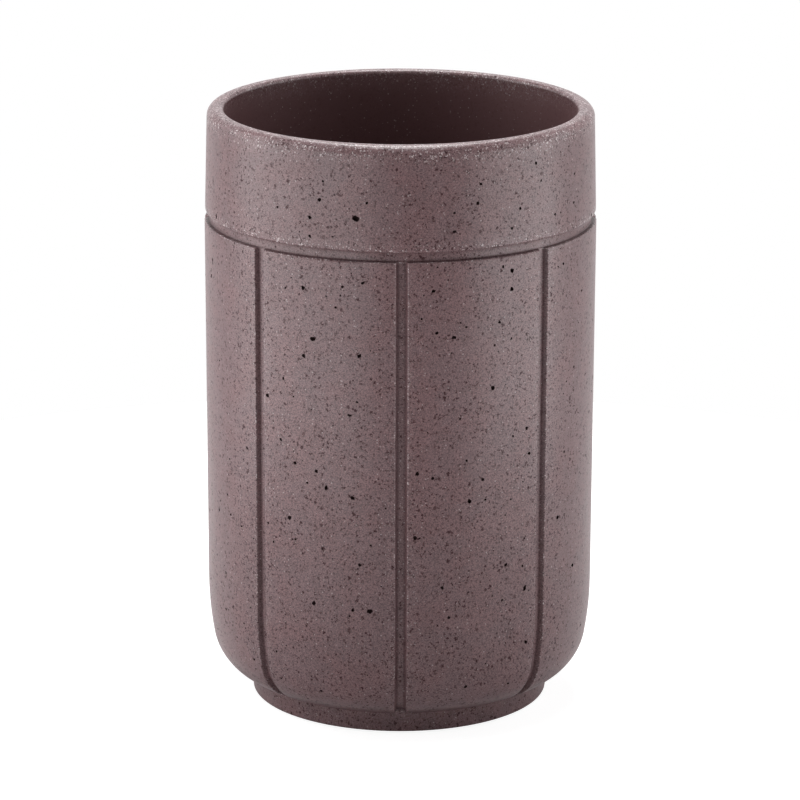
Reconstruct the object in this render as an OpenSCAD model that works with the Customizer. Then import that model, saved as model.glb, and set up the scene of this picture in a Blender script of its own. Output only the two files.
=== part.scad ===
// Bathroom tumbler cast in stone-filled resin: a plain band above a panelled wall,
// a rounded shoulder and a foot ring that stands on four soft pads.
// The origin is on the surface it stands on, below the middle, and +Z is up.

/* [Body] */
// Height of the casting, from the face of the foot to the rim
body_h = 116; // [95:1:140]
// Radius of the panelled wall at its top edge
wall_r = 37.5; // [32:0.5:45]
// Angle at which the panelled wall leans in towards its lower end
wall_lean = 0.16; // [0:0.02:0.6]
// Thickness of the wall at the rim
rim_t = 3.2; // [2.8:0.1:5]
// Rounding of the rim's outer edge
rim_outer_edge_r = 1.7; // [0.5:0.1:1.8]
// Rounding of the rim's inner edge
rim_inner_edge_r = 0.8; // [0.3:0.1:0.9]

/* [Band] */
// Height of the plain band, from the rim down to the ring groove
band_h = 19.7; // [12:0.1:30]
// How far the band's lower edge stands in from the wall's top edge
band_step = 0.1; // [0:0.1:0.3]
// How much narrower the band is at the rim than at its lower edge
band_draft = 0.5; // [0:0.1:1]

/* [Grooves] */
// Number of panels round the wall, with a groove between each two
panel_count = 8; // [4:1:12]
// Width of the upright grooves
groove_w = 1.9; // [1:0.1:3]
// Width of the ring groove under the band
ring_groove_w = 1.9; // [1:0.1:3]
// Depth of the upright grooves
groove_depth = 0.9; // [0.6:0.1:1.2]
// Depth of the ring groove
ring_groove_depth = 1; // [0.6:0.1:1.4]
// Rounding along the edges of the ring groove
groove_edge_r = 0.3; // [0.1:0.1:0.5]

/* [Shoulder and foot] */
// Radius of the rounded shoulder
shoulder_r = 9.8; // [7:0.1:12]
// Radius of the gentle curve that leads from the wall into the shoulder
easing_r = 64; // [40:1:90]
// Slope, from upright, at which the gentle curve runs into the shoulder
easing_angle = 10; // [5:1:14]
// Height of the foot ring
foot_h = 4; // [3:0.1:7]
// How far the foot ring stands in from the lower end of the wall
foot_inset = 8.6; // [7:0.1:11]
// Rounding of the foot's lower edge
foot_edge_r = 0.4; // [0.2:0.1:0.8]
// Width of the foot ring's face
foot_face_w = 11; // [9.5:0.5:15]
// Depth of the recess inside the foot ring
recess_depth = 2; // [1.6:0.1:2.8]
// Rounding between the recess and its side
recess_corner_r = 1; // [0.5:0.1:1.5]

/* [Inside] */
// Thickness of the floor above the level of the foot's upper end
floor_t = 3.5; // [2.5:0.5:7]
// How much narrower the inside is at its floor than at the rim
inside_draft = 1.2; // [0.5:0.1:2]
// Rounding where the inside wall meets the floor
inside_corner_r = 9; // [6:0.5:12]

/* [Pads] */
// Diameter of a pad
pad_d = 7; // [5:0.5:7.5]
// Thickness of a pad
pad_t = 1.3; // [1.1:0.1:1.6]
// Depth of the seat that a pad is pressed into
pad_seat_depth = 0.8; // [0.5:0.1:0.9]
// Gap between the side of a pad and its seat
pad_gap = 0.3; // [0.1:0.1:0.4]
// Rounding of a pad's lower edge
pad_edge_r = 0.4; // [0.1:0.1:0.5]

/* [Hidden] */
pad_names = ["pad_1", "pad_2", "pad_3", "pad_4"];
$fn = 180;
// Reach of every cut past the face that it opens
overrun = 1;
// How far the points of an arc let its chords stray from it
arc_error = 0.005;
stone = "#7d6a6c";
silicone = "#dfe3e2";

// Heights above the face of the foot
band_z = body_h - band_h;
wall_top_z = band_z - ring_groove_w;
inside_floor_z = foot_h + floor_t;
// Radii
band_r = wall_r - band_step;
rim_r = band_r - band_draft;
inside_r = rim_r - rim_t;
neck_r = wall_r - ring_groove_depth;
// The shoulder's centre lies this far in from the wall, and the shoulder meets the foot
// this far beyond its centre and below it
shoulder_in = easing_r*cos(wall_lean) - (easing_r - shoulder_r)*cos(easing_angle);
shoulder_reach = max(shoulder_in - foot_inset, 0);
shoulder_drop = sqrt(shoulder_r*shoulder_r - shoulder_reach*shoulder_reach);
shoulder_z = foot_h + shoulder_drop;
easing_z = shoulder_z + (easing_r - shoulder_r)*sin(easing_angle);
wall_low_z = easing_z - easing_r*sin(wall_lean);
wall_low_r = wall_r - (wall_top_z - wall_low_z)*tan(wall_lean);
foot_r = wall_low_r - foot_inset;
recess_r = foot_r - foot_face_w;
// Centres of the shoulder's two arcs, as [radius, height]
shoulder_c = [wall_low_r - shoulder_in, shoulder_z];
easing_c = [wall_low_r - easing_r*cos(wall_lean), easing_z];
// Lowest level of the shoulder, inside the foot
under_z = shoulder_z - shoulder_r;
foot_top_z = under_z + 2*groove_depth;
// The pads stand this far out of their seats
stand_h = pad_t - pad_seat_depth;
pad_r = pad_d/2;
pad_ring_r = foot_r - foot_face_w/2;

// Points of an arc, close enough for its chords to stray by arc_error at most
function arc(centre, r, from, to) =
    let (n = ceil(abs(to - from)/2/acos(1 - arc_error/r)))
    [for (i = [0:n]) let (a = from + (to - from)*i/n) centre + r*[cos(a), sin(a)]];

function unit(v) = v/norm(v);
function direction(v) = atan2(v.y, v.x);
function half_turn(a) = a > 180 ? a - 360 : a < -180 ? a + 360 : a;

// Points of a rounding of radius r at corner b, on the way from a to c
function rounding(a, b, c, r) =
    let (
        back = unit(a - b),
        on = unit(c - b),
        half = acos(back*on)/2,
        centre = b + unit(back + on)*r/sin(half),
        from = direction(b + back*r/tan(half) - centre),
        turn = half_turn(direction(b + on*r/tan(half) - centre) - from)
    )
    arc(centre, r, from, from + turn);

// Outer face of the panelled wall and its shoulder, from below upwards, drawn in by an inset
function wall_face(inset) = concat(
    arc(shoulder_c, shoulder_r - inset, -90, -easing_angle),
    arc(easing_c, easing_r - inset, -easing_angle, -wall_lean)
);

// Half section of the wall, shoulder, band and inside
module shell_section() {
    panel_low = [wall_low_r, wall_low_z];
    panel_top = [wall_r, wall_top_z];
    neck_low = [neck_r, wall_top_z];
    neck_top = [neck_r, band_z];
    band_low = [band_r, band_z];
    rim_out = [rim_r, body_h];
    rim_in = [inside_r, body_h];
    floor_edge = [inside_r - inside_draft, inside_floor_z];
    floor_middle = [0, inside_floor_z];
    polygon(concat(
        [[0, under_z]],
        wall_face(0),
        rounding(panel_low, panel_top, neck_low, groove_edge_r),
        [neck_low, neck_top],
        rounding(neck_top, band_low, rim_out, groove_edge_r),
        rounding(band_low, rim_out, rim_in, rim_outer_edge_r),
        rounding(rim_out, rim_in, floor_edge, rim_inner_edge_r),
        rounding(rim_in, floor_edge, floor_middle, inside_corner_r),
        [floor_middle]
    ));
}

// Half section of the foot, with its recess, high enough to close the ends of the upright grooves
module foot_section() {
    face_in = [recess_r, 0];
    face_out = [foot_r, 0];
    foot_top = [foot_r, foot_top_z];
    recess_edge = [recess_r, recess_depth];
    recess_middle = [0, recess_depth];
    polygon(concat(
        [recess_middle],
        rounding(recess_middle, recess_edge, face_in, recess_corner_r),
        [face_in],
        rounding(face_in, face_out, foot_top, foot_edge_r),
        [foot_top, [0, foot_top_z]]
    ));
}

// Cut for one upright groove: a slab that stops at the groove's floor and in the ring groove
module upright_groove() {
    inner_r = foot_r - overrun;
    top_z = wall_top_z + ring_groove_w/2;
    difference() {
        translate([inner_r, -groove_w/2, under_z - overrun])
            cube([wall_r + overrun - inner_r, groove_w, top_z - under_z + overrun]);
        rotate_extrude() polygon(concat(
            [[0, under_z + groove_depth]],
            wall_face(groove_depth),
            [[wall_r - groove_depth, wall_top_z], [wall_r - groove_depth, band_z], [0, band_z]]
        ));
    }
}

module pad_place(i) {
    rotate([0, 0, (i + 1/2)*360/len(pad_names)]) translate([pad_ring_r, 0, 0]) children();
}

module body() {
    color(stone) translate([0, 0, stand_h]) difference() {
        union() {
            difference() {
                rotate_extrude() shell_section();
                for (i = [0:panel_count - 1])
                    rotate([0, 0, i*360/panel_count]) upright_groove();
            }
            rotate_extrude() foot_section();
        }
        for (i = [0:len(pad_names) - 1])
            pad_place(i) translate([0, 0, -overrun])
                cylinder(r = pad_r + pad_gap, h = pad_seat_depth + overrun);
    }
}

// A pad, pressed up against the floor of its seat
module pad(i) {
    face_middle = [0, 0];
    face_edge = [pad_r, 0];
    top_edge = [pad_r, pad_t];
    color(silicone) pad_place(i) rotate_extrude() polygon(concat(
        [face_middle],
        rounding(face_middle, face_edge, top_edge, pad_edge_r),
        [top_edge, [0, pad_t]]
    ));
}

body();
pad(0);  // pad_1
pad(1);  // pad_2
pad(2);  // pad_3
pad(3);  // pad_4
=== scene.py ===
# A bathroom tumbler in stone-filled cast resin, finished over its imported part: the casting with its
# grooves and air holes, the four soft pads below it, and a plain stage with lights and a camera.
import math
import random

import bmesh
import bpy
from bpy.props import FloatProperty, FloatVectorProperty, IntProperty, PointerProperty
from mathutils import Matrix, Vector, noise


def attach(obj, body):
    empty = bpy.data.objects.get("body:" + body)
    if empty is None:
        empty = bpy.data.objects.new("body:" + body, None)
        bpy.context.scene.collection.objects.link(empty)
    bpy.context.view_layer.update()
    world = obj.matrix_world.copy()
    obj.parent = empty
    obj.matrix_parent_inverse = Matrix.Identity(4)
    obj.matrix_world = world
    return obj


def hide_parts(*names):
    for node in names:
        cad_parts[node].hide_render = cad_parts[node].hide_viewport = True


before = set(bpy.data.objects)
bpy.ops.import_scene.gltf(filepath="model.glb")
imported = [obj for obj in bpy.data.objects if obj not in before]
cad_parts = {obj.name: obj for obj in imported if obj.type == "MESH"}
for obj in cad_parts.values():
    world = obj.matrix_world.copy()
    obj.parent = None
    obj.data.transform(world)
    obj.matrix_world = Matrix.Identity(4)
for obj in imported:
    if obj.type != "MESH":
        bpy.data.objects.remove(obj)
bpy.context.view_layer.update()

bl_info = {
    "name": "Cast stone tumbler",
    "version": (1, 0, 0),
    "blender": (4, 5, 0),
    "location": "3D View > Sidebar > Tumbler",
    "description": "Makes a grooved cast stone bathroom tumbler with its pads, stage and camera",
    "category": "Add Mesh",
}

MM = 0.001
PAD_NODES = ("pad_1", "pad_2", "pad_3", "pad_4")
UP = Vector((0, 0, 1))
WHITE = (1, 1, 1, 1)

# Fineness of the meshes: columns of a spun piece, and the spacing of rows along straight parts
PANEL_COLUMNS = 36
ROUND_COLUMNS = 64
FOOT_ROWS = 2.5 * MM
WALL_ROWS = 1.7 * MM
INSIDE_ROWS = 4 * MM
PAD_ROWS = 1 * MM
SHARP_FROM = math.radians(38)
MERGE_WITHIN = 0.002 * MM
SLIVER = 0.001 * MM

# Extra rows on the floor of the ring groove, counted from its lower and from its upper corner
RING_ROW_LOW = 0.45 * MM
RING_ROW_HIGH = 0.4 * MM

# How far the marks for the material reach: pale grains below the rim, partly wear and partly a
# painted highlight, and painted shade in the ring groove's corners and above the crease
RIM_WEAR_AND_HIGHLIGHT = 2 * MM
RING_EDGE_REACH = 0.45 * MM
RING_SHADE_LOW = 0.35 * MM
RING_SHADE_HIGH = 0.9 * MM
CREASE_SHADE = 1.5 * MM
INSIDE_FADE_ROWS = 4

# The section of an upright groove, and its marks (edge, painted shade) from its middle out to the
# panel; the edge mark adds pale grains, partly wear and partly a painted highlight
GROOVE_FLOOR_COLUMN = 0.45
GROOVE_CORNER_STEPS = 3
GROOVE_EDGE_STEPS = 4
GROOVE_EDGE_AND_SHADE_MARKS = (
    *[(0, 0)] * 2,  # floor
    *[(0, 1)] * (GROOVE_CORNER_STEPS + 1),  # corner
    (0, 0.4),  # top of the sloped side
    *[(1, 0)] * (GROOVE_EDGE_STEPS - 1),  # rounded edge
    (0.3, 0),  # start of the panel
)


# Properties


def length(name, millimetres, description):
    """A length that is written in millimetres and kept in metres."""
    return FloatProperty(
        name=name, description=description, default=millimetres * MM, min=0, unit="LENGTH",
        precision=5,
    )


def angle(name, degrees, description):
    """An angle that is written in degrees and kept in radians."""
    return FloatProperty(
        name=name, description=description, default=math.radians(degrees), subtype="ANGLE",
        precision=4,
    )


def colour(name, value, description):
    """A colour in linear red, green and blue."""
    return FloatVectorProperty(
        name=name, description=description, default=value, size=3, min=0, max=1, subtype="COLOR"
    )


class CastingSizes(bpy.types.PropertyGroup):
    """Sizes of the casting, measured from the face of its foot."""

    stand_h: length("Stand", 0.5, "How far the pads hold the foot off the surface")
    body_h: length("Height", 116, "From the face of the foot to the rim")
    wall_r: length("Wall radius", 37.5, "Radius of the panelled wall at its top edge")
    wall_lean: angle("Wall lean", 0.16, "Angle at which the wall leans in towards its lower end")
    rim_t: length("Rim thickness", 3.2, "Thickness of the wall at the rim")
    rim_outer_r: length("Rim outer rounding", 1.7, "Rounding of the rim's outer edge")
    rim_inner_r: length("Rim inner rounding", 0.8, "Rounding of the rim's inner edge")
    band_h: length("Band height", 19.7, "From the rim down to the ring groove")
    band_step: length("Band step", 0.1, "How far the band stands in from the wall")
    band_draft: length("Band draft", 0.5, "How much narrower the band is at the rim")
    ring_w: length("Ring groove width", 1.9, "Height of the ring groove under the band")
    ring_depth: length("Ring groove depth", 1, "Depth of the ring groove")
    ring_edge_r: length("Ring groove edge", 0.3, "Rounding along the edges of the ring groove")
    ring_corner_r: length("Ring groove corner", 0.2, "Rounding in the corners of the ring groove")
    panels: IntProperty(name="Panels", description="Panels round the wall", default=8, min=2)
    groove_w: length("Groove width", 2.35, "Width of an upright groove at the wall's face")
    groove_floor_w: length("Groove floor", 1.5, "Width of an upright groove at its floor")
    groove_depth: length("Groove depth", 0.9, "Depth of the upright grooves")
    groove_edge_r: length("Groove edge", 0.25, "Rounding along the edges of an upright groove")
    groove_corner_r: length("Groove corner", 0.2, "Rounding in the corners of an upright groove")
    shoulder_r: length("Shoulder radius", 9.8, "Radius of the rounded shoulder")
    easing_r: length("Easing radius", 64, "Radius of the curve from the wall into the shoulder")
    easing_angle: angle("Easing angle", 10, "Slope at which that curve runs into the shoulder")
    foot_h: length("Foot height", 4, "Height of the foot ring")
    foot_inset: length("Foot inset", 8.6, "How far the foot stands in from the wall")
    foot_edge_r: length("Foot edge", 0.4, "Rounding of the foot's lower edge")
    foot_crease_r: length("Foot crease", 0.35, "Rounding where the shoulder meets the foot")
    foot_face_w: length("Foot face", 11, "Width of the foot ring's face")
    recess_depth: length("Recess depth", 2, "Depth of the recess inside the foot ring")
    recess_corner_r: length("Recess corner", 1, "Rounding between the recess and its side")
    recess_edge_r: length("Recess edge", 0.3, "Rounding of the recess's edge")
    floor_t: length("Floor thickness", 3.5, "Thickness of the floor above the foot")
    inside_draft: length("Inside draft", 1.2, "How much narrower the inside is at its floor")
    inside_corner_r: length("Inside corner", 9, "Rounding where the inside wall meets the floor")


class PadSizes(bpy.types.PropertyGroup):
    """Sizes of the soft pads and of the seats that they are pressed into."""

    pad_d: length("Pad diameter", 7, "Diameter of a pad")
    pad_t: length("Pad thickness", 1.3, "Thickness of a pad")
    pad_edge_r: length("Pad edge", 0.4, "Rounding of a pad's lower edge")
    seat_gap: length("Seat gap", 0.3, "Gap between the side of a pad and its seat")
    ring_r: length("Ring of pads", 23.2, "Radius of the circle on which the pads lie")


class StoneLooks(bpy.types.PropertyGroup):
    """Colours of the cast stone, and how many air holes are scattered over it."""

    stone_cool: colour("Cool stone", (0.138, 0.085, 0.090), "Cooler clouds in the stone")
    stone_warm: colour("Warm stone", (0.143, 0.082, 0.086), "Warmer clouds in the stone")
    # The fleck colour paints the dark grains, and also painted shade in the corners and the crease
    fleck_and_shade: colour("Flecks", (0.033, 0.013, 0.015), "Dark grains of the filler")
    glint: colour("Glints", (0.62, 0.55, 0.55), "Pale grains of the filler")
    # The inside colour is darker than the stone as painted shade inside the cup; its smoothness is
    # real
    inside: colour("Inside", (0.120, 0.062, 0.064), "Smooth inside of the tumbler")
    # The air hole colour is nearly black: painted shade in the shallow holes
    hole: colour("Air holes", (0.020, 0.012, 0.012), "Walls of the air holes")
    large_holes: IntProperty(name="Large air holes", description="How many", default=130, min=0)
    small_holes: IntProperty(name="Small air holes", description="How many", default=260, min=0)


class StageSettings(bpy.types.PropertyGroup):
    """Where the camera stands, and how wide the table top is."""

    distance: length("Camera distance", 851.4, "From the tumbler's axis to the camera")
    aim_h: length("Orbit height", 58.5, "Height of the point that the camera's rise starts from")
    rise: angle("Camera rise", 15.728, "Angle at which the camera stands above that point")
    tilt: angle("Camera tilt", 15.742, "Angle at which the camera looks down")
    turn: angle("Camera turn", 0.42, "Turn of the camera round the tumbler")
    roll: angle("Camera roll", 0.162, "Turn of the camera about its line of sight")
    floor_r: length("Floor radius", 210, "Radius of the round table top that the tumbler stands on")
    lens: FloatProperty(
        name="Lens", description="Focal length in millimetres", default=197.7, min=1
    )


# Outlines, as lists of points with a radius and a height


def arc(centre, radius, start, end, steps):
    """Points of an arc, from one angle to another."""
    angles = (start + (end - start) * i / steps for i in range(steps + 1))
    return [centre + radius * Vector((math.cos(a), math.sin(a))) for a in angles]


def rounding(before, corner, after, radius, steps):
    """Points of a rounding at a corner, on the way from one point to another."""
    back = (before - corner).normalized()
    on = (after - corner).normalized()
    half = math.acos(max(-1, min(1, back.dot(on)))) / 2
    centre = corner + (back + on).normalized() * radius / math.sin(half)
    first = corner + back * radius / math.tan(half) - centre
    last = corner + on * radius / math.tan(half) - centre
    start = math.atan2(first.y, first.x)
    turn = (math.atan2(last.y, last.x) - start + math.pi) % math.tau - math.pi
    return arc(centre, radius, start, start + turn, steps)


def joined(runs, spacing):
    """One outline from several runs of points, with points added along its long straight parts.

    A part may be longer than the spacing by a quarter before it is divided."""
    points = [p for run in runs for p in run]
    outline = [points[0]]
    for end in points[1:]:
        start = outline[-1]
        parts = max(1, math.ceil((end - start).length / spacing - 0.25))
        outline += [start.lerp(end, i / parts) for i in range(1, parts + 1)]
    return outline


def around(azimuth, radius, height):
    """A place at an azimuth, given with its distance from the axis and its height."""
    return Vector((radius * math.cos(azimuth), radius * math.sin(azimuth), height))


class Casting:
    """Outline of the casting, worked out from its sizes."""

    def __init__(self, s):
        self.s = s
        lean, slope = s.wall_lean, s.easing_angle
        self.band_z = s.body_h - s.band_h
        self.wall_top_z = self.band_z - s.ring_w
        self.neck_r = s.wall_r - s.ring_depth
        shoulder_in = s.easing_r * math.cos(lean) - (s.easing_r - s.shoulder_r) * math.cos(slope)
        reach = shoulder_in - s.foot_inset
        shoulder_z = s.foot_h + math.sqrt(s.shoulder_r**2 - reach**2)
        easing_z = shoulder_z + (s.easing_r - s.shoulder_r) * math.sin(slope)
        self.low_z = easing_z - s.easing_r * math.sin(lean)
        self.low_r = s.wall_r - (self.wall_top_z - self.low_z) * math.tan(lean)
        self.foot_r = self.low_r - s.foot_inset
        self.shoulder_c = Vector((self.low_r - shoulder_in, shoulder_z))
        self.easing_c = Vector((self.low_r - s.easing_r * math.cos(lean), easing_z))

    def underside(self):
        """From the middle of the recess out to the foot's side."""
        s = self.s
        middle = Vector((0, s.recess_depth))
        recess_r = self.foot_r - s.foot_face_w
        recess_edge = Vector((recess_r, s.recess_depth))
        face_in = Vector((recess_r, 0))
        face_out = Vector((self.foot_r, 0))
        side = Vector((self.foot_r, s.foot_h))
        return joined(
            [
                [middle],
                rounding(middle, recess_edge, face_in, s.recess_corner_r, 6),
                rounding(recess_edge, face_in, face_out, s.recess_edge_r, 4),
                rounding(face_in, face_out, side, s.foot_edge_r, 5),
            ],
            FOOT_ROWS,
        )

    def crease(self):
        """The small hollow rounding between the foot's side and the shoulder."""
        s, c = self.s, self.shoulder_c
        r = s.foot_crease_r
        centre_r = self.foot_r + r
        centre_z = c.y - math.sqrt((s.shoulder_r + r) ** 2 - (centre_r - c.x) ** 2)
        centre = Vector((centre_r, centre_z))
        return arc(centre, r, math.pi, (c - centre).angle_signed(Vector((1, 0))), 5)

    def wall(self):
        """Shoulder and panelled wall, from the crease up to the ring groove's edge."""
        s = self.s
        crease_end = self.crease()[-1] - self.shoulder_c
        start = math.atan2(crease_end.y, crease_end.x)
        top = Vector((s.wall_r, self.wall_top_z - s.ring_edge_r))
        shoulder = arc(self.shoulder_c, s.shoulder_r, start, -s.easing_angle, 15)
        easing = arc(self.easing_c, s.easing_r, -s.easing_angle, -s.wall_lean, 7)
        return joined([shoulder[1:], easing, [top]], WALL_ROWS)

    def ring(self):
        """Ring groove, from the top of the wall to the lower edge of the band."""
        s = self.s
        low = Vector((self.low_r, self.low_z))
        top = Vector((s.wall_r, self.wall_top_z))
        neck_low = Vector((self.neck_r, self.wall_top_z))
        neck_top = Vector((self.neck_r, self.band_z))
        band = Vector((s.wall_r - s.band_step, self.band_z))
        rim = Vector((s.wall_r - s.band_step - s.band_draft, s.body_h))
        return [
            *rounding(low, top, neck_low, s.ring_edge_r, 5)[1:],
            *rounding(top, neck_low, neck_top, s.ring_corner_r, 3),
            neck_low + Vector((0, RING_ROW_LOW)),
            neck_top - Vector((0, RING_SHADE_HIGH)),
            neck_top - Vector((0, RING_ROW_HIGH)),
            *rounding(neck_low, neck_top, band, s.ring_corner_r, 3),
            *rounding(neck_top, band, rim, s.ring_edge_r, 5),
        ]

    def mouth(self):
        """Band and rim, from the ring groove to the top of the inside wall."""
        s = self.s
        band = Vector((s.wall_r - s.band_step, self.band_z))
        rim_out = band + Vector((-s.band_draft, s.band_h))
        rim_in = rim_out - Vector((s.rim_t, 0))
        inside_low = rim_in - Vector((s.inside_draft, s.body_h - s.foot_h - s.floor_t))
        outside = rounding(band, rim_out, rim_in, s.rim_outer_r, 10)
        inner_edge = rounding(rim_out, rim_in, inside_low, s.rim_inner_r, 7)
        lower = self.ring()[-1]
        return joined([[lower], outside, inner_edge], WALL_ROWS)[1:]

    def inside(self):
        """Inside wall and floor, down to the middle."""
        s = self.s
        upper = self.mouth()[-1]
        floor_z = s.foot_h + s.floor_t
        corner = Vector((s.wall_r - s.band_step - s.band_draft - s.rim_t - s.inside_draft, floor_z))
        middle = Vector((0, floor_z))
        rounded = rounding(upper, corner, middle, s.inside_corner_r, 12)
        return joined([[upper], rounded, [middle]], INSIDE_ROWS)[1:]

    def rows(self):
        """Every row of the outline with the name of its zone."""
        zones = (
            ("foot", self.underside()),
            ("crease", self.crease()),
            ("wall", self.wall()),
            ("ring", self.ring()),
            ("mouth", self.mouth()),
            ("inside", self.inside()),
        )
        return [(point, zone) for zone, points in zones for point in points]

    def outer_at(self, height):
        """Radius and outward slope of the outside at a height, as a point and a direction."""
        outline = [*self.crease(), *self.wall(), *self.ring(), *self.mouth()]
        for low, high in zip(outline, outline[1:]):
            if low.y <= height <= high.y and high.y > low.y:
                along = (high - low).normalized()
                point = low.lerp(high, (height - low.y) / (high.y - low.y))
                return point, Vector((along.y, -along.x))
        raise ValueError("no part of the outside lies at that height")

    def groove_half(self):
        """Half section of an upright groove as offsets and depths, from its middle to the panel."""
        s = self.s
        middle = Vector((0, s.groove_depth))
        floor = Vector((s.groove_floor_w / 2, s.groove_depth))
        edge = Vector((s.groove_w / 2, 0))
        panel = Vector((s.groove_w, 0))
        return [
            middle,
            middle.lerp(floor, GROOVE_FLOOR_COLUMN),
            *rounding(middle, floor, edge, s.groove_corner_r, GROOVE_CORNER_STEPS),
            *rounding(floor, edge, panel, s.groove_edge_r, GROOVE_EDGE_STEPS),
        ]


# Modelling


def finished(name, bm, material):
    """Turns a bmesh into an object of the scene, smooth but for its sharp edges."""
    mesh = bpy.data.meshes.new(name)
    bm.to_mesh(mesh)
    bm.free()
    made = bpy.data.objects.new(name, mesh)
    bpy.context.scene.collection.objects.link(made)
    mesh.materials.append(material)
    mesh.shade_smooth()
    mesh.set_sharp_from_angle(angle=SHARP_FROM)
    return made


def spun(outline, steps, parts=1):
    """A bmesh turned round the Z axis from an outline, whose vertices remember their row.

    It is turned through one part, which is then copied round."""
    bm = bmesh.new()
    row = bm.verts.layers.int.new("row")
    verts = [bm.verts.new((p.x, 0, p.y)) for p in outline]
    for i, v in enumerate(verts):
        v[row] = i
    edges = [bm.edges.new(pair) for pair in zip(verts, verts[1:])]
    whole = parts == 1
    bmesh.ops.spin(
        bm, geom=verts + edges, cent=(0, 0, 0), axis=UP, angle=math.tau / parts,
        steps=steps // parts, use_merge=whole, use_normal_flip=False, use_duplicate=False,
    )
    if not whole:
        one_part = bm.verts[:] + bm.edges[:] + bm.faces[:]
        bmesh.ops.spin(
            bm, geom=one_part, cent=(0, 0, 0), axis=UP, angle=math.tau,
            steps=parts, use_merge=False, use_normal_flip=False, use_duplicate=True,
        )
    return bm


def closed(bm):
    """Merges doubled vertices and turns every face outwards."""
    bmesh.ops.remove_doubles(bm, verts=bm.verts, dist=MERGE_WITHIN)
    bmesh.ops.dissolve_degenerate(bm, edges=bm.edges, dist=SLIVER)
    bmesh.ops.recalc_face_normals(bm, faces=bm.faces)


class GrooveColumns:
    """Where each column of the spun casting goes, so that the grooves get their section."""

    def __init__(self, casting, per_panel):
        self.casting = casting
        self.per_panel = per_panel
        self.half = casting.groove_half()
        self.share = math.tau / casting.s.panels
        rows = casting.rows()
        self.points = [point for point, _ in rows]
        self.zones = [zone for _, zone in rows]
        self.crease_end = casting.crease()[-1]

    def column(self, j, radius):
        """Azimuth from the nearest groove, and depth, of a column counted from that groove."""
        side, j = (1, j) if j >= 0 else (-1, -j)
        last = len(self.half) - 1
        if j <= last:
            offset, depth = self.half[j]
            return side * math.asin(offset / radius), depth
        start = math.asin(self.half[last].x / radius)
        share = (j - last) / (self.per_panel / 2 - last)
        return side * (start + (self.share / 2 - start) * share), 0

    def lowered(self, i, depth):
        """Row i of the outline, sunk into a groove of that depth."""
        point, zone = self.points[i], self.zones[i]
        if depth == 0 or zone in ("foot", "mouth", "inside"):
            return point
        if zone == "ring":
            low = point.y < self.casting.band_z - self.casting.s.ring_w / 2
            return Vector((min(point.x, self.casting.s.wall_r - depth), point.y)) if low else point
        if zone == "crease":
            return point + Vector((0, depth))
        along = (self.points[i + 1] - self.points[i - 1]).normalized()
        sunk = point - depth * Vector((along.y, -along.x))
        if sunk.x < self.crease_end.x:
            return self.crease_end + Vector((0, depth))
        return sunk

    def marks(self, i, k):
        """How much of an edge, and how much painted shade for a sunk corner or the crease, lies at
        row i in column k.
        """
        casting, zone, point = self.casting, self.zones[i], self.points[i]
        s = casting.s
        # Painted shade fills the crease and the ring groove's corners, and fades up the wall above
        # the crease; the edge mark gives the rim and the ring groove's edges pale grains, partly wear
        # and partly a painted highlight
        if zone == "crease":
            return 0, (0 if self.zones[i - 1] == "foot" else 1)
        if zone == "mouth":
            below = max(0, s.body_h - s.rim_outer_r - point.y)
            return max(0, 1 - below / RIM_WEAR_AND_HIGHLIGHT), 0
        if zone == "ring":
            low = (point - Vector((casting.neck_r, casting.wall_top_z))).length / RING_SHADE_LOW
            high = (point - Vector((casting.neck_r, casting.band_z))).length / RING_SHADE_HIGH
            return (1 if point.x > s.wall_r - RING_EDGE_REACH else 0), max(0, 1 - min(low, high))
        if zone != "wall":
            return 0, 0
        j = abs(k - round(k / self.per_panel) * self.per_panel)
        if j < len(self.half):
            return GROOVE_EDGE_AND_SHADE_MARKS[j]
        return 0, max(0, 1 - (point.y - self.crease_end.y) / CREASE_SHADE)

    def place(self, i, k):
        """Place of row i in column k."""
        groove = round(k / self.per_panel)
        zone = self.zones[i]
        radius = self.casting.s.wall_r
        if zone in ("crease", "wall"):
            radius = self.points[i].x
        elif zone == "foot":
            radius = self.casting.foot_r
        turn, depth = self.column(k - groove * self.per_panel, radius)
        sunk = self.lowered(i, depth)
        return around(groove * self.share + turn, sunk.x, sunk.y)


def cut_away(target, bm):
    """Takes a bmesh's shape out of the target."""
    cutter = finished("cutter", bm, target.data.materials[0])
    cut = target.modifiers.new("cut", "BOOLEAN")
    cut.operation = "DIFFERENCE"
    cut.solver = "MANIFOLD"
    cut.object = cutter
    result = bpy.data.meshes.new_from_object(
        target.evaluated_get(bpy.context.evaluated_depsgraph_get())
    )
    target.modifiers.clear()
    old = target.data
    target.data = result
    bpy.data.meshes.remove(old)
    bpy.data.objects.remove(cutter)
    result.name = target.name


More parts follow.
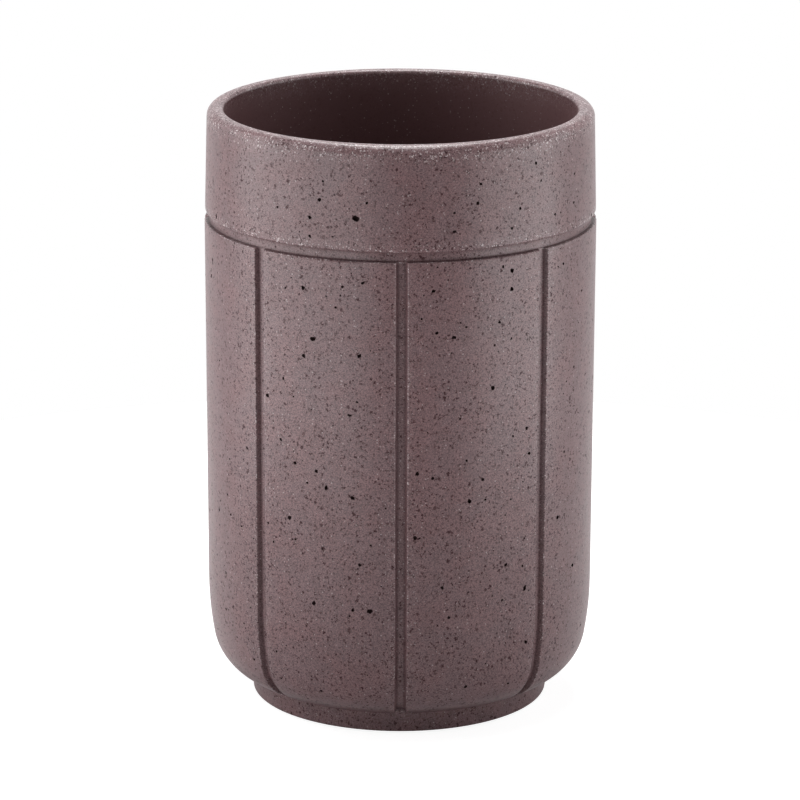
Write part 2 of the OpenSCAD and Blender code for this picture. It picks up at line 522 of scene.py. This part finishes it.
# The air holes that stand out in the photograph, as azimuth from the camera's side in degrees,
# height above the foot in millimetres and how wide they look in tenths of a millimetre
SEEN_HOLES = (
    # band
    (-38, 103, 5), (-27, 98.5, 6), (-27, 102, 7), (-24, 105.5, 6), (-23, 109, 5),
    (-13, 102.5, 10), (-10, 105.5, 5), (15, 100, 6), (15, 103.5, 5), (22, 105, 6), (23, 108.5, 5),
    (33, 99.5, 6), (36, 103, 6), (42, 111, 6), (44, 107.5, 5), (50, 100.5, 6), (60, 101.5, 5),
    # far left panel
    (-62, 44, 5), (-54, 39, 5), (-51, 55, 5),
    # left panel
    (-42, 66.5, 7), (-42, 41.5, 5), (-40, 38, 5), (-37, 58.5, 5), (-36, 70.5, 5), (-35, 88, 5),
    (-34, 43.5, 8), (-32, 39.5, 5), (-32, 54.5, 6), (-29, 75.5, 7), (-29, 88.5, 7), (-28, 51, 5),
    (-26, 79, 8), (-26, 27.5, 8), (-25, 9.5, 5), (-25, 53.5, 6), (-22, 50.5, 8), (-19, 85.5, 5),
    (-17, 89.5, 5), (-15, 65, 6), (-14, 27, 6), (-14, 49, 7), (-12, 36, 6), (-12, 76.5, 7),
    (-11, 90.5, 6), (-9, 27, 9),
    # right panel
    (4, 41.5, 7), (4.5, 54, 7), (9, 53, 6), (9, 89, 6), (10, 81, 6), (12, 31.5, 6), (14, 25.5, 6),
    (15, 80, 7), (19, 56, 5), (20, 11, 6), (20, 48, 8), (24, 52, 6), (25, 48, 5), (27, 69.5, 7),
    (29, 82, 5), (30, 92.5, 5), (32, 34.5, 6), (33, 78.5, 5), (33, 88, 8), (33, 91.5, 9),
    (34, 59.5, 5), (35, 10, 5), (38, 33.5, 5), (39, 29, 8), (39, 60.5, 6), (40, 18, 7),
    (40, 55.5, 7),
    # far right panel
    (53, 41, 8), (54, 90.5, 6), (56, 53.5, 5), (61, 69.5, 5),
)

# The scattered air holes: how far they stay from the foot and the rim, how many times the sum of
# their radii lies between two, and from which radius one counts as large
HOLE_FOOT_MARGIN = 2.5 * MM
HOLE_RIM_MARGIN = 1 * MM
HOLE_SPACING = 1.3
LARGE_HOLE = 0.25 * MM

# The shape of an air hole: how deep its middle sits, in radii, how it is stretched along its own
# axes, how strong and how fine its lumps are, and from which radius it gets a finer mesh
HOLE_SINK = (0.1, 0.35)
HOLE_STRETCH = ((1, 1.45), (0.8, 1.05), (0.9, 1.25))
HOLE_LUMPS = 0.45
HOLE_LUMP_SCALE = 1.3
FINE_HOLE = 0.26 * MM


def air_holes(casting, looks):
    """Air holes as places on the outside with a radius: azimuth, height and radius of each."""
    rng = random.Random(11)
    s = casting.s
    share = math.tau / s.panels
    # A radius is half a width, which is counted in tenths of a millimetre
    holes = [
        (math.radians(azimuth - 90), height * MM, width * 0.05 * MM)
        for azimuth, height, width in SEEN_HOLES
    ]

    def room(azimuth, height, radius):
        """Whether a hole there keeps clear of the grooves and of the other holes."""
        point, _ = casting.outer_at(height)
        to_groove = abs((azimuth + share / 2) % share - share / 2) * point.x
        if to_groove < s.groove_w / 2 + s.groove_edge_r + radius and height < casting.band_z:
            return False
        if abs(height - casting.band_z + s.ring_w / 2) < s.ring_w / 2 + s.ring_edge_r + radius:
            return False
        for other_azimuth, other_height, other_radius in holes:
            across = ((azimuth - other_azimuth + math.pi) % math.tau - math.pi) * point.x
            if math.hypot(across, height - other_height) < HOLE_SPACING * (radius + other_radius):
                return False
        return True

    low = s.foot_h + HOLE_FOOT_MARGIN
    high = s.body_h - s.rim_outer_r - HOLE_RIM_MARGIN
    for count, smallest, largest in (
        (looks.large_holes, 0.26 * MM, 0.42 * MM),
        (looks.small_holes, 0.14 * MM, 0.24 * MM),
    ):
        made = 0
        while made < count:
            azimuth = rng.uniform(0, math.tau)
            height = rng.uniform(low, high)
            radius = smallest + (largest - smallest) * rng.random() ** 2
            # On the camera's side the large ones are in the list above, so these go to the back
            on_camera_side = math.sin(azimuth) < -0.5
            if radius > LARGE_HOLE and on_camera_side:
                azimuth -= math.pi
            if room(azimuth, height, radius):
                holes.append((azimuth, height, radius))
                made += 1
    return holes


def hole_cutters(casting, looks, stand):
    """One bmesh with a slightly uneven bubble for each air hole."""
    rng = random.Random(29)
    bm = bmesh.new()
    carrier = bpy.data.meshes.new("bubble")
    for azimuth, height, radius in air_holes(casting, looks):
        point, out = casting.outer_at(height)
        middle = point - out * radius * rng.uniform(*HOLE_SINK)
        place = Matrix.Translation(around(azimuth, middle.x, middle.y + stand))
        fine = 3 if radius > FINE_HOLE else 2
        bubble = bmesh.new()
        # The hole mark paints shade, nearly black, on the walls of each air hole
        hole = bubble.verts.layers.float.new("hole")
        made = bmesh.ops.create_icosphere(bubble, subdivisions=fine, radius=radius)["verts"]
        stretch = Matrix.Diagonal((*[rng.uniform(*limits) for limits in HOLE_STRETCH], 1))
        turn = rng.uniform(0, math.tau)
        spin = Matrix.Rotation(turn, 4, Vector([rng.random() for _ in range(3)]))
        shift = Vector([rng.uniform(0, 50) for _ in range(3)])
        for v in made:
            v.co *= 1 + HOLE_LUMPS * noise.noise(v.co / radius * HOLE_LUMP_SCALE + shift)
            v[hole] = 1
        bmesh.ops.transform(bubble, matrix=place @ spin @ stretch, verts=made)
        bubble.to_mesh(carrier)
        bubble.free()
        bm.from_mesh(carrier)
    bpy.data.meshes.remove(carrier)
    return bm


def seat_cutters(pads):
    """One bmesh with a disc for each pad's seat, from the pad's top to well below the foot."""
    bm = bmesh.new()
    radius = pads.pad_d / 2 + pads.seat_gap
    depth = 4 * MM
    for azimuth in pad_azimuths():
        made = bmesh.ops.create_cone(
            bm, cap_ends=True, segments=ROUND_COLUMNS, radius1=radius, radius2=radius, depth=depth
        )["verts"]
        place = around(azimuth, pads.ring_r, pads.pad_t - depth / 2)
        bmesh.ops.translate(bm, verts=made, vec=place)
    return bm


def pad_azimuths():
    """Azimuths of the pads, halfway between the axes."""
    return [(i + 0.5) * math.tau / len(PAD_NODES) for i in range(len(PAD_NODES))]


def make_casting(sizes, pads, looks, material):
    """The whole casting, with its grooves, air holes and seats."""
    casting = Casting(sizes)
    columns = GrooveColumns(casting, PANEL_COLUMNS)
    steps = PANEL_COLUMNS * sizes.panels
    bm = spun(columns.points, steps, parts=sizes.panels)
    row = bm.verts.layers.int["row"]
    # Marks for the material: inside, smoother and painted darker as shade; edge, pale grains of wear
    # and painted highlight; groove, painted shade in corners and the crease
    inside = bm.verts.layers.float.new("inside")
    edge = bm.verts.layers.float.new("edge")
    groove = bm.verts.layers.float.new("groove")
    first_inside = columns.zones.index("inside")
    for v in bm.verts:
        on_axis = v.co.xy.length <= MM
        i = v[row]
        k = 0 if on_axis else round(math.atan2(v.co.y, v.co.x) / math.tau * steps) % steps
        v.co = columns.place(i, k)
        v.co.z += sizes.stand_h
        v[inside] = max(0, min(1, (i - first_inside + INSIDE_FADE_ROWS) / INSIDE_FADE_ROWS))
        v[edge], v[groove] = columns.marks(i, k)
    closed(bm)
    body = finished("tumbler_body", bm, material)
    cut_away(body, seat_cutters(pads))
    cut_away(body, hole_cutters(casting, looks, sizes.stand_h))
    body.data.set_sharp_from_angle(angle=SHARP_FROM)
    return body


# Materials


def add_node(tree, kind, inputs=None, **settings):
    """A node with its settings, whose inputs are values or the outputs of other nodes."""
    made = tree.nodes.new(kind)
    for key, value in settings.items():
        setattr(made, key, value)
    for key, value in (inputs or {}).items():
        if isinstance(value, bpy.types.NodeSocket):
            tree.links.new(value, made.inputs[key])
        else:
            made.inputs[key].default_value = value
    return made


def maths(tree, operation, *values):
    """The result of a Math node."""
    return add_node(tree, "ShaderNodeMath", dict(enumerate(values)), operation=operation).outputs[0]


def times(tree, product, *factors):
    """The product of several values."""
    for factor in factors:
        product = maths(tree, "MULTIPLY", product, factor)
    return product


def without(tree, value, mask, share=1):
    """A value that loses that share of itself where a mask is full."""
    return times(tree, value, maths(tree, "SUBTRACT", 1, times(tree, mask, share)))


def ramp(tree, value, low, high, to_low=0, to_high=1):
    """A value mapped from one range to another, held inside it."""
    inputs = {
        "Value": value, "From Min": low, "From Max": high, "To Min": to_low, "To Max": to_high,
    }
    return add_node(tree, "ShaderNodeMapRange", inputs, interpolation_type="SMOOTHSTEP").outputs[0]


def blended(tree, share, first, second, how="MIX"):
    """Two colours mixed by a share."""
    made = add_node(tree, "ShaderNodeMix", data_type="RGBA", blend_type=how)
    # The node has sockets for every type of data, and these are the ones for colours
    for key, value in {0: share, 6: first, 7: second}.items():
        if isinstance(value, bpy.types.NodeSocket):
            tree.links.new(value, made.inputs[key])
        else:
            made.inputs[key].default_value = value
    return made.outputs[2]


def clouds(tree, where, size, detail=2, roughness=0.5):
    """A noise whose patches have about that size."""
    inputs = {"Vector": where, "Scale": 1 / size, "Detail": detail, "Roughness": roughness}
    return add_node(tree, "ShaderNodeTexNoise", inputs).outputs


def four(rgb):
    """A colour as a node socket takes it, with an alpha of 1."""
    return (*rgb, 1)


def new_material(name):
    """An empty node material with its output."""
    material = bpy.data.materials.new(name)
    material.use_nodes = True
    material.node_tree.nodes.clear()
    return material, material.node_tree, add_node(material.node_tree, "ShaderNodeOutputMaterial")


def shaken(tree, where, size, reach):
    """Coordinates pushed about by a noise, so that what lies on them loses its even outline."""
    push = add_node(
        tree, "ShaderNodeVectorMath",
        {0: clouds(tree, where, size, detail=1)["Color"], 1: (0.5, 0.5, 0.5)}, operation="SUBTRACT",
    ).outputs[0]
    moved = {0: push, 1: (reach, reach, reach), 2: where}
    return add_node(tree, "ShaderNodeVectorMath", moved, operation="MULTIPLY_ADD").outputs[0]


def specks(tree, where, size, smallest, largest, channel):
    """Mask of grains scattered one to a cell, many small and few large.

    Their smallest and largest radii are shares of the cell."""
    cells = add_node(tree, "ShaderNodeTexVoronoi", {"Vector": where, "Scale": 1 / size}).outputs
    share = add_node(tree, "ShaderNodeSeparateColor", {0: cells["Color"]}).outputs[channel]
    share = maths(tree, "POWER", share, 2)
    limits = {"Value": share, "To Min": smallest, "To Max": largest}
    radius = add_node(tree, "ShaderNodeMapRange", limits).outputs[0]
    outer, inner = 1.1, 0.6  # where a grain's soft outline starts and is full, in radii
    return ramp(tree, maths(tree, "DIVIDE", cells["Distance"], radius), outer, inner)


# Sizes of the patterns in the stone, and how the outlines of its grains are pushed about
CLOUD = 6 * MM
CROWD = 4 * MM
PATCH = 2.5 * MM
PEBBLE = 1.9 * MM
GRIT = 0.8 * MM
PALE_GRAIN = 0.7 * MM
FLAKE = 0.5 * MM
EDGE_GRAIN = 0.45 * MM
SAND = 0.24 * MM
PUSH_SIZE = 0.35 * MM
PUSH_REACH = 0.9 * MM


def stone_grains(tree, place, inside, edge, groove):
    """Masks of the dark grains, fewer inside and where shade is painted in corners, and of the pale
    ones, which on edges are partly a painted highlight.
    """
    uneven = shaken(tree, place, PUSH_SIZE, PUSH_REACH)
    grit = specks(tree, uneven, GRIT, smallest=0.12, largest=0.43, channel=0)
    pebbles = specks(tree, uneven, PEBBLE, smallest=0.02, largest=0.24, channel=1)
    flakes = clouds(tree, place, FLAKE, detail=1.5, roughness=0.6)["Fac"]
    flakes = times(tree, ramp(tree, flakes, 0.58, 0.68), 0.8)
    crowd = ramp(tree, clouds(tree, place, CROWD)["Fac"], 0.3, 0.6, 0.6, 1)
    dark = maths(tree, "MAXIMUM", maths(tree, "MAXIMUM", grit, pebbles), flakes)
    dark = without(tree, times(tree, dark, crowd), inside, 0.8)
    dark = without(tree, dark, groove, 0.6)

    pale = specks(tree, place, PALE_GRAIN, smallest=0.02, largest=0.24, channel=1)
    pale = times(tree, pale, ramp(tree, inside, 0, 1, 0.3, 0.36))
    # Pale grains on the edges and the rim, partly wear and partly a painted highlight
    worn_and_highlit = specks(tree, uneven, EDGE_GRAIN, smallest=0.12, largest=0.5, channel=2)
    worn_and_highlit = times(tree, worn_and_highlit, edge, ramp(tree, inside, 0, 1, 0.7, 0.3))
    return dark, maths(tree, "MAXIMUM", pale, worn_and_highlit)


def stone_material(looks):
    """Cast stone: clouded resin full of dark and pale grains, smoother inside and painted darker
    there as shade.
    """
    material, tree, out = new_material("stone_filled_resin")
    place = add_node(tree, "ShaderNodeTexCoord").outputs["Object"]
    inside, hole, edge, groove = (
        add_node(tree, "ShaderNodeAttribute", attribute_name=mark).outputs["Fac"]
        for mark in ("inside", "hole", "edge", "groove")
    )
    dark, glint = stone_grains(tree, place, inside, edge, groove)

    # The clouded resin, with an uneven tone from its sand
    tint = ramp(tree, clouds(tree, place, CLOUD, detail=3)["Fac"], 0.35, 0.65)
    sand = clouds(tree, place, SAND, roughness=0.6)["Fac"]
    patch = clouds(tree, place, PATCH)["Fac"]
    tone = times(
        tree, ramp(tree, sand, 0.25, 0.75, 0.58, 1.42), ramp(tree, patch, 0.25, 0.75, 0.93, 1.07)
    )
    tone = add_node(tree, "ShaderNodeCombineColor", {0: tone, 1: tone, 2: tone}).outputs[0]
    stone = blended(tree, tint, four(looks.stone_warm), four(looks.stone_cool))
    stone = blended(tree, 1, stone, tone, "MULTIPLY")

    # What lies over it: the smooth inside painted darker as shade, painted shade in corners and the
    # crease, dark grains, pale grains, and painted shade in the air holes
    for share, layer in (
        (times(tree, inside, 0.9), looks.inside),
        (times(tree, groove, 0.28), looks.fleck_and_shade),
        (times(tree, dark, 0.9), looks.fleck_and_shade),
        (glint, looks.glint),
        (hole, looks.hole),
    ):
        stone = blended(tree, share, stone, four(layer))

    # A satin gloss, weaker on dark grains, where shade is painted in corners and the crease, and in
    # the air holes
    rough = ramp(tree, sand, 0.3, 0.7, 0.3, 0.42)
    rough = maths(tree, "SUBTRACT", rough, times(tree, edge, 0.05))
    sheen = without(tree, without(tree, 0.32, dark, 0.8), groove, 0.6)
    sheen = without(tree, sheen, hole)

    # A fine relief, in which dark grains are sunk, and which is weaker inside
    height = maths(tree, "SUBTRACT", times(tree, sand, 0.5), times(tree, dark, 0.35))
    height = without(tree, height, inside, 0.75)
    relief = {"Height": height, "Strength": 0.3, "Distance": 0.05 * MM}
    bump = add_node(tree, "ShaderNodeBump", relief)
    shader = add_node(
        tree, "ShaderNodeBsdfPrincipled",
        {
            "Base Color": stone, "Roughness": rough, "Normal": bump.outputs[0], "IOR": 1.5,
            "Specular IOR Level": sheen,
        },
    )
    tree.links.new(shader.outputs[0], out.inputs[0])
    return material


def silicone_material():
    """Clear soft silicone, a little milky, with a fine satin skin."""
    material, tree, out = new_material("milky_silicone")
    place = add_node(tree, "ShaderNodeTexCoord").outputs["Object"]
    milk = ramp(tree, clouds(tree, place, 1.5 * MM)["Fac"], 0.3, 0.7)
    skin = clouds(tree, place, 0.12 * MM)["Fac"]
    tone = blended(tree, milk, four((0.74, 0.77, 0.76)), four((0.84, 0.86, 0.85)))
    relief = {"Height": skin, "Strength": 0.3, "Distance": 0.02 * MM}
    bump = add_node(tree, "ShaderNodeBump", relief)
    shader = add_node(
        tree, "ShaderNodeBsdfPrincipled",
        {
            "Base Color": tone, "Roughness": ramp(tree, skin, 0.3, 0.7, 0.32, 0.45),
            "Normal": bump.outputs[0], "IOR": 1.41, "Transmission Weight": 0.55,
        },
    )
    tree.links.new(shader.outputs[0], out.inputs[0])
    return material


def floor_material():
    """Pale floor that the camera sees as white, and that still takes the tumbler's shadow."""
    material, tree, out = new_material("pale_floor")
    paths = add_node(tree, "ShaderNodeLightPath").outputs
    mirrored = maths(tree, "MAXIMUM", paths["Is Glossy Ray"], paths["Is Transmission Ray"])
    surface = add_node(tree, "ShaderNodeBsdfDiffuse", {"Color": four((0.8, 0.8, 0.8))}).outputs[0]
    # Camera rays see it white with a soft shadow, and mirrored rays see it nearly white
    for seen, pale, strength in ((mirrored, 0.55, 0.25), (paths["Is Camera Ray"], 0.35, 0.9)):
        lit = add_node(tree, "ShaderNodeBsdfDiffuse", {"Color": four((pale, pale, pale))})
        glow = add_node(tree, "ShaderNodeEmission", {"Color": WHITE, "Strength": strength})
        white = add_node(tree, "ShaderNodeAddShader", {0: glow.outputs[0], 1: lit.outputs[0]})
        shaders = {0: seen, 1: surface, 2: white.outputs[0]}
        surface = add_node(tree, "ShaderNodeMixShader", shaders).outputs[0]
    tree.links.new(surface, out.inputs[0])
    return material


# Stage


# What the white surroundings add to the light of the lamps
WORLD_LIGHT = 0.06

# Name, azimuth and rise of the middle in degrees, distance, width and height in metres, glow.
# The low panels reach below the table top, so they light the wall from the sides and from below.
LAMPS = (
    ("left_low", -62, -10, 1.0, 1.9, 0.4, 4.0),
    ("left_tall", -92, 21, 1.0, 1.0, 0.9, 3.0),
    ("right_low", 72, -10, 1.0, 1.1, 0.4, 4.5),
    ("right_tall", 97, 21, 1.0, 0.9, 0.9, 2.0),
    ("top_strip", 180, 72, 0.8, 0.3, 0.9, 11.0),
)


def add_lamp(name, azimuth, rise, distance, width, height, glow, aim):
    """A soft panel that faces the tumbler, where azimuth 0 is the camera's side and 90 its right.

    A glow of 1 is as bright as the white background."""
    data = bpy.data.lights.new(name, "AREA")
    data.shape = "RECTANGLE"
    data.size, data.size_y = width, height
    data.energy = math.pi * width * height * glow
    a, e = math.radians(azimuth), math.radians(rise)
    back = Vector((math.sin(a) * math.cos(e), -math.cos(a) * math.cos(e), math.sin(e)))
    lamp = bpy.data.objects.new(name, data)
    lamp.location = aim + back * distance
    lamp.rotation_euler = back.to_track_quat("Z", "Y").to_euler()
    bpy.context.scene.collection.objects.link(lamp)


def add_camera(stage):
    """The camera at the photograph's angle."""
    data = bpy.data.cameras.new("camera")
    data.lens = stage.lens
    data.sensor_width = 36
    data.clip_start, data.clip_end = 0.05, 20
    camera = bpy.data.objects.new("camera", data)
    back = stage.distance * math.cos(stage.rise)
    up = stage.distance * math.sin(stage.rise)
    place = Vector((0, -back, stage.aim_h + up))
    turn = Matrix.Rotation(-stage.turn, 4, "Z")
    look = Matrix.Rotation(math.pi / 2 - stage.tilt, 4, "X") @ Matrix.Rotation(stage.roll, 4, "Z")
    camera.matrix_world = turn @ Matrix.Translation(place) @ look
    bpy.context.scene.collection.objects.link(camera)
    bpy.context.scene.camera = camera


# Operators, panel and the rest of the add-on


class TUMBLER_OT_body(bpy.types.Operator):
    """Make the casting with its grooves, air holes and seats"""

    bl_idname = "tumbler.body"
    bl_label = "Casting"

    def execute(self, context):
        scene = context.scene
        material = stone_material(scene.tumbler_looks)
        body = make_casting(scene.tumbler_sizes, scene.tumbler_pads, scene.tumbler_looks, material)
        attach(body, "root")
        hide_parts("body")
        return {"FINISHED"}


class TUMBLER_OT_pads(bpy.types.Operator):
    """Make the four soft pads in their seats"""

    bl_idname = "tumbler.pads"
    bl_label = "Pads"

    def execute(self, context):
        pads = context.scene.tumbler_pads
        material = silicone_material()
        radius = pads.pad_d / 2
        face = Vector((0, 0))
        corner = Vector((radius, 0))
        top = Vector((radius, pads.pad_t))
        middle = Vector((0, pads.pad_t))
        rounded = rounding(face, corner, top, pads.pad_edge_r, 6)
        outline = joined([[face], rounded, [top, middle]], PAD_ROWS)
        for node, azimuth in zip(PAD_NODES, pad_azimuths()):
            bm = spun(outline, ROUND_COLUMNS)
            closed(bm)
            bmesh.ops.translate(bm, verts=bm.verts, vec=around(azimuth, pads.ring_r, 0))
            pad = finished("silicone_" + node, bm, material)
            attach(pad, "root")
            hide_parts(node)
        return {"FINISHED"}


class TUMBLER_OT_stage(bpy.types.Operator):
    """Make the floor, the soft lights and the camera"""

    bl_idname = "tumbler.stage"
    bl_label = "Stage"

    def execute(self, context):
        scene = context.scene
        scene.view_settings.view_transform = "Standard"
        bm = bmesh.new()
        bmesh.ops.create_circle(bm, cap_ends=True, segments=128, radius=scene.tumbler_stage.floor_r)
        floor = finished("floor", bm, floor_material())
        world = bpy.data.worlds.new("studio")
        world.use_nodes = True
        scene.world = world
        tree = world.node_tree
        tree.nodes.clear()
        paths = add_node(tree, "ShaderNodeLightPath").outputs
        seen = maths(tree, "MAXIMUM", paths["Is Camera Ray"], paths["Is Glossy Ray"])
        seen = maths(tree, "MAXIMUM", seen, paths["Is Transmission Ray"])
        strength = ramp(tree, seen, 0, 1, WORLD_LIGHT, 1)
        glow = add_node(tree, "ShaderNodeBackground", {"Color": WHITE, "Strength": strength})
        out = add_node(tree, "ShaderNodeOutputWorld")
        tree.links.new(glow.outputs[0], out.inputs[0])
        aim = UP * scene.tumbler_stage.aim_h
        for lamp in LAMPS:
            add_lamp(*lamp, aim)
        add_camera(scene.tumbler_stage)
        return {"FINISHED"}


class TUMBLER_PT_panel(bpy.types.Panel):
    """Sizes, colours and buttons of the tumbler"""

    bl_idname = "TUMBLER_PT_panel"
    bl_label = "Tumbler"
    bl_space_type = "VIEW_3D"
    bl_region_type = "UI"
    bl_category = "Tumbler"

    def draw(self, context):
        layout = self.layout
        for operator in OPERATORS:
            layout.operator(operator.bl_idname)
        for name in GROUPS:
            box = layout.box()
            group = getattr(context.scene, name)
            for key in group.bl_rna.properties.keys():
                if key not in ("rna_type", "name"):
                    box.prop(group, key)


GROUPS = {
    "tumbler_sizes": CastingSizes,
    "tumbler_pads": PadSizes,
    "tumbler_looks": StoneLooks,
    "tumbler_stage": StageSettings,
}
OPERATORS = (TUMBLER_OT_body, TUMBLER_OT_pads, TUMBLER_OT_stage)


def register():
    for group in GROUPS.values():
        bpy.utils.register_class(group)
    for name, group in GROUPS.items():
        setattr(bpy.types.Scene, name, PointerProperty(type=group))
    for operator in OPERATORS:
        bpy.utils.register_class(operator)
    bpy.utils.register_class(TUMBLER_PT_panel)


def unregister():
    bpy.utils.unregister_class(TUMBLER_PT_panel)
    for operator in reversed(OPERATORS):
        bpy.utils.unregister_class(operator)
    for name, group in reversed(GROUPS.items()):
        delattr(bpy.types.Scene, name)
        bpy.utils.unregister_class(group)


def main():
    """Makes the whole scene."""
    register()
    bpy.ops.tumbler.body()
    bpy.ops.tumbler.pads()
    bpy.ops.tumbler.stage()


if __name__ == "__main__":
    main()
